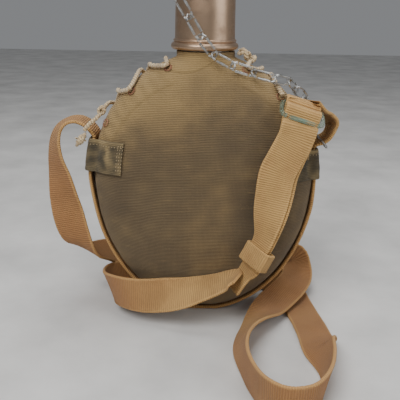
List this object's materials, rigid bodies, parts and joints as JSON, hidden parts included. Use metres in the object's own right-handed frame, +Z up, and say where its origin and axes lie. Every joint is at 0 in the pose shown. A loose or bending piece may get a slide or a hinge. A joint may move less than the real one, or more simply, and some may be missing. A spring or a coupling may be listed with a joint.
{
  "type": "canteen",
  "caption": "Oval flask in a laced canvas cover, with a tall metal cap over its corked neck, a chain and a long webbing sling.",
  "frame": {"origin": "on the floor under the middle of the flask, on the flat underside of the webbing band", "axes": "+X to the right as seen from the front, +Y to the back, +Z up along the neck"},
  "size_m": [0.2392, 0.2321, 0.2932],
  "materials": {
    "aluminium": "dull rolled metal",
    "canvas": "matt ribbed weave",
    "copper_brown_metal": "spun and lightly tarnished",
    "galvanised_steel": "dull zinc",
    "old_brass": "tarnished",
    "lace": "matt twisted cord",
    "cork": "matt",
    "verdigris_brass": "green patina",
    "webbing": "matt ribbed weave"
  },
  "bodies": {
    "canteen": {"chain_end_ring": "galvanised_steel", "chain_link_14": "galvanised_steel", "cover_back": "canvas", "cover_front": "canvas", "cover_keeper_left": "canvas", "cover_keeper_right": "canvas", "eyelet_back_1": "old_brass", "eyelet_back_2": "old_brass", "eyelet_back_3": "old_brass", "eyelet_back_4": "old_brass", "eyelet_back_5": "old_brass", "eyelet_back_6": "old_brass", "eyelet_front_1": "old_brass", "eyelet_front_2": "old_brass", "eyelet_front_3": "old_brass", "eyelet_front_4": "old_brass", "eyelet_front_5": "old_brass", "eyelet_front_6": "old_brass", "flask_back_shell": "aluminium", "flask_front_shell": "aluminium", "flask_neck": "aluminium", "lace_knot_left": "lace", "lace_knot_right": "lace", "lace_left": "lace", "lace_right": "lace", "sling_edge_band": "webbing", "sling_right_loop": "webbing", "sling_riser": "webbing", "sling_strap": "webbing", "strap_slide": "verdigris_brass"},
    "cap_swivel": {"swivel_eye": "old_brass", "chain_link_01": "galvanised_steel", "chain_link_02": "galvanised_steel", "chain_link_03": "galvanised_steel", "chain_link_04": "galvanised_steel", "chain_link_05": "galvanised_steel"},
    "cap": {"cap_shell": "copper_brown_metal", "cork_plug": "cork", "plug_washer": "old_brass", "swivel_rivet": "old_brass"},
    "strap_keeper": {"strap_keeper": "webbing"},
    "link_06": {"chain_link_06": "galvanised_steel"},
    "link_07": {"chain_link_07": "galvanised_steel"},
    "link_08": {"chain_link_08": "galvanised_steel"},
    "link_09": {"chain_link_09": "galvanised_steel"},
    "link_10": {"chain_link_10": "galvanised_steel"},
    "link_11": {"chain_link_11": "galvanised_steel"},
    "link_12": {"chain_link_12": "galvanised_steel"},
    "link_13": {"chain_link_13": "galvanised_steel"}
  },
  "joints": [
    {"name": "cap_lift", "type": "slide", "parent": "canteen", "child": "cap_swivel", "axis": [0, 0, 1], "range_m": [0, 0.01]},
    {"name": "cap_turn", "type": "hinge", "parent": "cap_swivel", "child": "cap", "pos_m": [0, 0, 0.26], "axis": [0, 0, 1], "continuous": true},
    {"name": "keeper_slide", "type": "slide", "parent": "canteen", "child": "strap_keeper", "axis": [0.4388, 0.0499, 0.8972], "range_m": [-0.0015, 0.003]},
    {"name": "link_06_follow", "type": "slide", "parent": "canteen", "child": "link_06", "axis": [0, 0, 1], "range_m": [0, 0.00909]},
    {"name": "link_07_follow", "type": "slide", "parent": "canteen", "child": "link_07", "axis": [0, 0, 1], "range_m": [0, 0.00798]},
    {"name": "link_08_follow", "type": "slide", "parent": "canteen", "child": "link_08", "axis": [0, 0, 1], "range_m": [0, 0.00687]},
    {"name": "link_09_follow", "type": "slide", "parent": "canteen", "child": "link_09", "axis": [0, 0, 1], "range_m": [0, 0.00576]},
    {"name": "link_10_follow", "type": "slide", "parent": "canteen", "child": "link_10", "axis": [0, 0, 1], "range_m": [0, 0.00464]},
    {"name": "link_11_follow", "type": "slide", "parent": "canteen", "child": "link_11", "axis": [0, 0, 1], "range_m": [0, 0.00353]},
    {"name": "link_12_follow", "type": "slide", "parent": "canteen", "child": "link_12", "axis": [0, 0, 1], "range_m": [0, 0.00242]},
    {"name": "link_13_follow", "type": "slide", "parent": "canteen", "child": "link_13", "axis": [0, 0, 1], "range_m": [0, 0.00131]}
  ],
  "couplings": [
    {"joint": "link_06_follow", "follows": "cap_lift", "ratio": 0.8889},
    {"joint": "link_07_follow", "follows": "cap_lift", "ratio": 0.7778},
    {"joint": "link_08_follow", "follows": "cap_lift", "ratio": 0.6667},
    {"joint": "link_09_follow", "follows": "cap_lift", "ratio": 0.5556},
    {"joint": "link_10_follow", "follows": "cap_lift", "ratio": 0.4444},
    {"joint": "link_11_follow", "follows": "cap_lift", "ratio": 0.3333},
    {"joint": "link_12_follow", "follows": "cap_lift", "ratio": 0.2222},
    {"joint": "link_13_follow", "follows": "cap_lift", "ratio": 0.1111}
  ]
}
